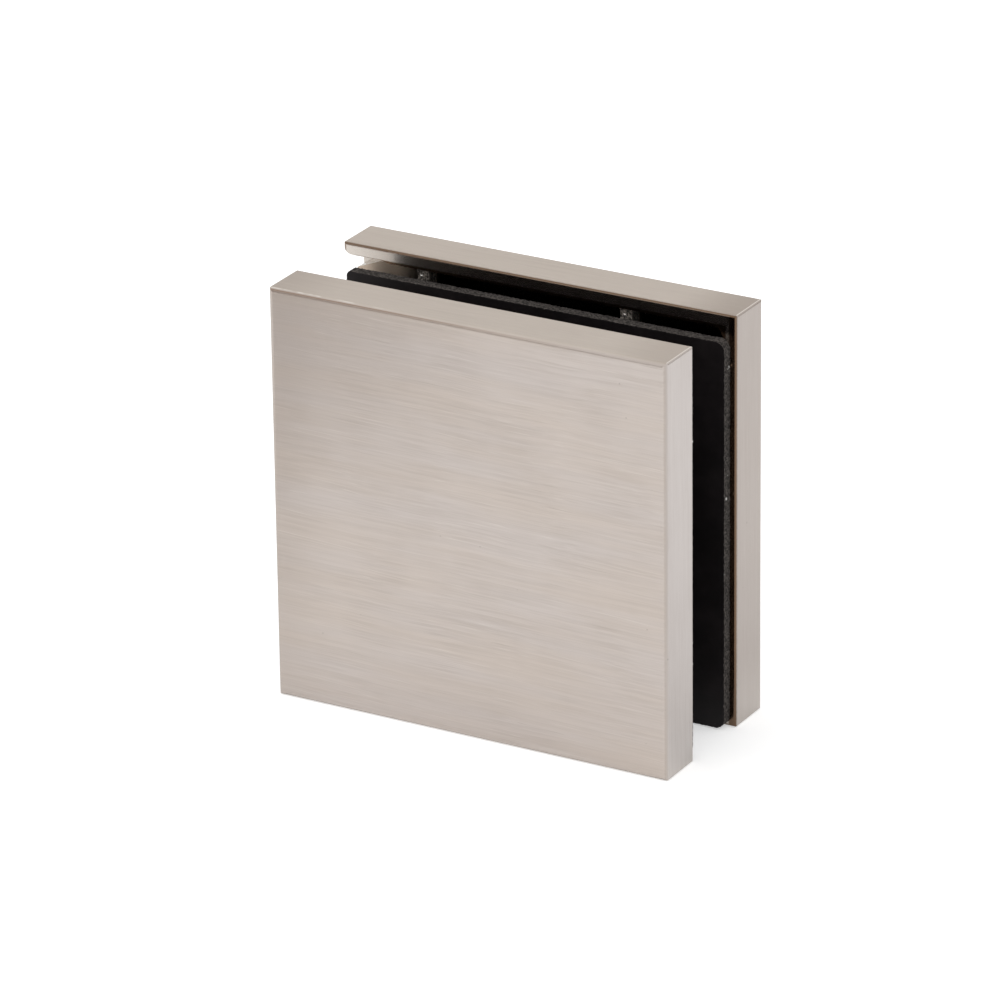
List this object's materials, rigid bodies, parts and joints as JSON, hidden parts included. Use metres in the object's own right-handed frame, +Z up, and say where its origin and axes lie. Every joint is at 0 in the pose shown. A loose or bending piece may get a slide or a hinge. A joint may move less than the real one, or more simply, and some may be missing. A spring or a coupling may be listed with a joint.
{
  "type": "glass clamp",
  "caption": "Square glass-to-wall clamp: hollow brushed plates joined by a wall web, rubber gaskets on both sides of the glass slot, closed by countersunk screws.",
  "frame": {"origin": "on the wall face, midway between the two wall screws, in the middle of the gap between the plates", "axes": "+X away from the wall into the glass, +Y from the front plate to the back plate, +Z up"},
  "size_m": [0.05, 0.0225, 0.0494],
  "materials": {
    "brushed_nickel": "satin brushed nickel plating on a zinc casting, brush lines along the width",
    "black_rubber": "smooth black sheet rubber with rough grey cut edges",
    "screw_steel": "plain stainless steel"
  },
  "bodies": {
    "front": {"front_plate": "brushed_nickel", "front_gasket": "black_rubber"},
    "jaw": {"back_plate": "brushed_nickel", "rear_gasket": "black_rubber"},
    "upper_screw": {"upper_clamp_screw": "screw_steel"},
    "lower_screw": {"lower_clamp_screw": "screw_steel"}
  },
  "joints": [
    {"name": "jaw_slide", "type": "slide", "parent": "front", "child": "jaw", "axis": [0, 1, 0], "range_m": [-0.0013, 0.0027]},
    {"name": "upper_screw_turn", "type": "hinge", "parent": "jaw", "child": "upper_screw", "pos_m": [0.0045, 0, 0.0135], "axis": [0, 1, 0], "range_deg": [-680, 1400]},
    {"name": "lower_screw_turn", "type": "hinge", "parent": "jaw", "child": "lower_screw", "pos_m": [0.0045, 0, -0.0135], "axis": [0, 1, 0], "range_deg": [-680, 1400]}
  ],
  "couplings": [
    {"joint": "upper_screw_turn", "follows": "jaw_slide", "rad_per_m": 8976},
    {"joint": "lower_screw_turn", "follows": "jaw_slide", "rad_per_m": 8976}
  ]
}
